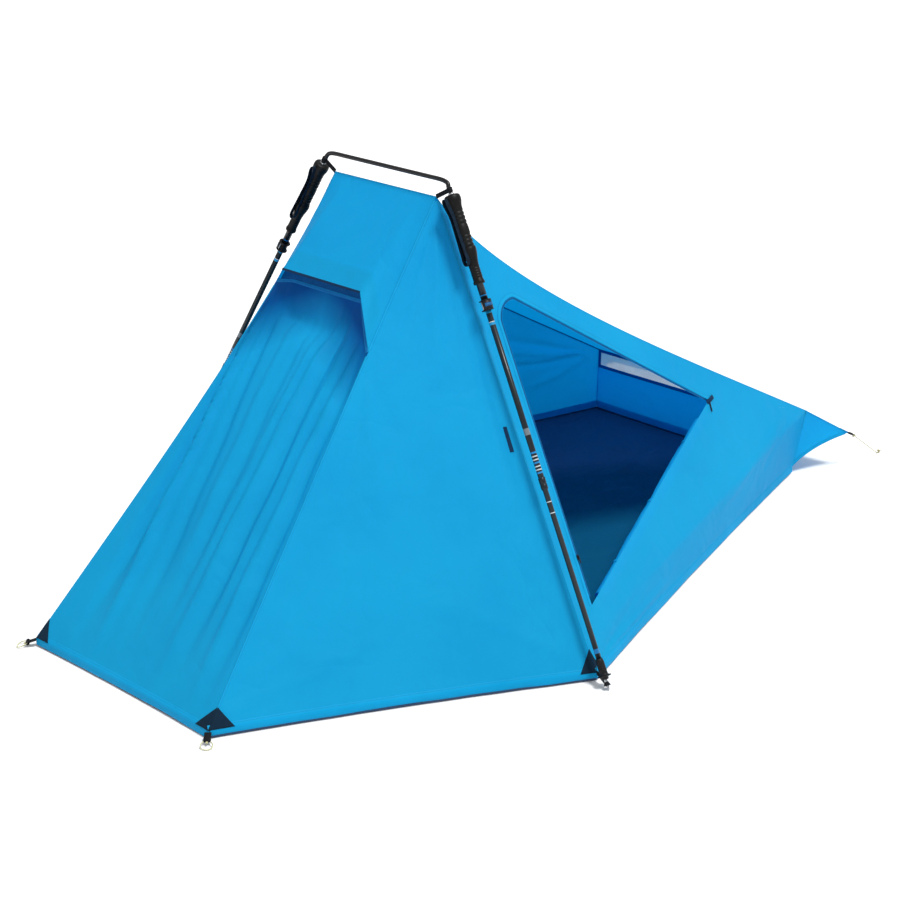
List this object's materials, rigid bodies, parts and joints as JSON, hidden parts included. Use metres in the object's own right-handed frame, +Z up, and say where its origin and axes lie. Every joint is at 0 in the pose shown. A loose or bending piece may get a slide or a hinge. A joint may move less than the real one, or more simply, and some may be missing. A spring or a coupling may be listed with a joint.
{
  "type": "trekking pole tent",
  "caption": "Low tent with a bathtub floor, hooded head vent, side door and mesh foot window, pitched on adjustable trekking poles joined by a bar.",
  "frame": {"origin": "underside of the floor, midway between the two pole tips", "axes": "+Z up, +X towards the foot end with the mesh window, -X towards the head end with the vent, the door in the wall on the -Y side"},
  "size_m": [2.7886, 1.8216, 1.206],
  "materials": {
    "canopy_fabric": "coated ripstop nylon, faint square grid, soft sheen",
    "inner_fabric": "uncoated nylon, matt",
    "floor_fabric": "heavy coated nylon, satin",
    "netting": "fine insect netting",
    "black_plastic": "moulded, fine grain",
    "grip_foam": "closed-cell foam, matt",
    "black_alloy": "black anodised, satin",
    "steel_tip": "ground, worn",
    "webbing": "woven polyester tape",
    "guy_cord": "braided sheath, pale yellow"
  },
  "bodies": {
    "tent": {"vent_hood": "canopy_fabric", "head_panel": "canopy_fabric", "front_panel_right": "canopy_fabric", "front_panel_left": "canopy_fabric", "foot_gusset_right": "canopy_fabric", "foot_gusset_left": "canopy_fabric", "side_panel_left": "canopy_fabric", "door_front_strip": "canopy_fabric", "door_top_strip": "canopy_fabric", "roof_panel": "canopy_fabric", "foot_hood": "canopy_fabric", "side_panel_right": "canopy_fabric", "foot_wall": "inner_fabric", "door_roll": "inner_fabric", "groundsheet": "floor_fabric", "tub_wall_head": "floor_fabric", "tub_wall_foot": "floor_fabric", "tub_wall_front_right": "floor_fabric", "tub_wall_side_right": "floor_fabric", "tub_wall_front_left": "floor_fabric", "tub_wall_side_left": "floor_fabric", "vent_mesh": "netting", "foot_mesh": "netting", "hood_brim": "black_plastic", "pole_lock_body_right": "black_plastic", "tail_ring_right": "black_plastic", "pole_lock_body_left": "black_plastic", "tail_ring_left": "black_plastic", "pole_grip_right": "grip_foam", "pole_grip_left": "grip_foam", "tent_bar": "black_alloy", "pole_upper_tube_right": "black_alloy", "pole_upper_tube_left": "black_alloy", "zip_track": "webbing", "foot_strap_right": "webbing", "peak_tab_right": "webbing", "head_tab_right": "webbing", "foot_strap_left": "webbing", "peak_tab_left": "webbing", "head_tab_left": "webbing", "guyline_right": "guy_cord", "guyline_left": "guy_cord"},
    "shaft_right": {"pole_upper_shaft_right": "black_alloy", "pole_lower_shaft_right": "black_alloy", "pole_basket_right": "black_plastic", "pole_tip_right": "steel_tip"},
    "lever_right": {"pole_lock_lever_right": "black_plastic"},
    "wrist_right": {"wrist_strap_right": "webbing"},
    "loop_right": {"stake_loop_right": "guy_cord"},
    "shaft_left": {"pole_upper_shaft_left": "black_alloy", "pole_lower_shaft_left": "black_alloy", "pole_basket_left": "black_plastic", "pole_tip_left": "steel_tip"},
    "lever_left": {"pole_lock_lever_left": "black_plastic"},
    "wrist_left": {"wrist_strap_left": "webbing"},
    "loop_left": {"stake_loop_left": "guy_cord"},
    "slider": {"zip_slider": "black_plastic"}
  },
  "joints": [
    {"name": "pole_length_right", "type": "slide", "parent": "tent", "child": "shaft_right", "axis": [0.0787, 0.4933, 0.8663], "range_m": [0, 0.13]},
    {"name": "pole_length_left", "type": "slide", "parent": "tent", "child": "shaft_left", "axis": [0.0787, -0.4933, 0.8663], "range_m": [0, 0.13]},
    {"name": "lock_lever_right", "type": "hinge", "parent": "tent", "child": "lever_right", "pos_m": [0.0681, -0.39444, 0.90594], "axis": [-0.0787, -0.4933, -0.8663], "range_deg": [0, 110]},
    {"name": "lock_lever_left", "type": "hinge", "parent": "tent", "child": "lever_left", "pos_m": [0.0681, 0.39444, 0.90594], "axis": [0.0787, -0.4933, 0.8663], "range_deg": [0, 110]},
    {"name": "wrist_strap_swing_right", "type": "hinge", "parent": "tent", "child": "wrist_right", "pos_m": [0.07616, -0.2488, 1.16107], "axis": [0, 0.869, -0.4948], "range_deg": [0, 80]},
    {"name": "wrist_strap_swing_left", "type": "hinge", "parent": "tent", "child": "wrist_left", "pos_m": [0.07616, 0.2488, 1.16107], "axis": [0, 0.869, 0.4948], "range_deg": [0, 80]},
    {"name": "stake_loop_lift_right", "type": "hinge", "parent": "tent", "child": "loop_right", "pos_m": [-0.89033, -0.37361, 0.012], "axis": [-0.6919, 0.722, 0], "range_deg": [0, 140]},
    {"name": "stake_loop_lift_left", "type": "hinge", "parent": "tent", "child": "loop_left", "pos_m": [-0.89033, 0.37361, 0.012], "axis": [0.6919, 0.722, 0], "range_deg": [0, 140]},
    {"name": "door_zip_slide", "type": "slide", "parent": "tent", "child": "slider", "axis": [0.092, 0.5066, 0.8573], "range_m": [-0.1, 0.64]}
  ]
}
